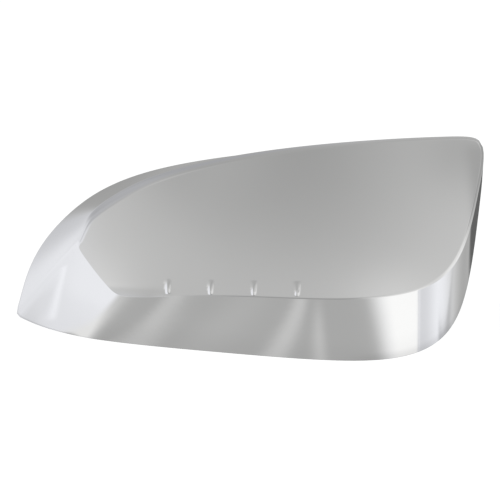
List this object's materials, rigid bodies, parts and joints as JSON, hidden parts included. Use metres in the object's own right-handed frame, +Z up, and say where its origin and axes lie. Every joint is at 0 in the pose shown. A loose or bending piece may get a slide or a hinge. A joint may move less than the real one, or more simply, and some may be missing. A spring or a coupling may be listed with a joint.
{
  "type": "wing mirror cover",
  "caption": "Wedge-shaped wing mirror cover: a gently domed front face above a slanted lower band, tapering to a pointed tail, hollow behind and held on by foam tape.",
  "frame": {"origin": "middle of the rear opening, in the plane of the rim, where the mirror housing enters", "axes": "+X along the cover towards its tall end, +Y backwards out of the opening, +Z up as on the car"},
  "size_m": [0.247, 0.056, 0.1169],
  "materials": {
    "chrome_plate": "bright chrome plating on moulded plastic, satin and cloudy on the inside",
    "foam_tape": "dark foam tape under a smooth red liner"
  },
  "bodies": {
    "root": {"cover": "chrome_plate", "upper_tape": "foam_tape", "lower_tape": "foam_tape", "end_tape": "foam_tape"}
  },
  "joints": []
}
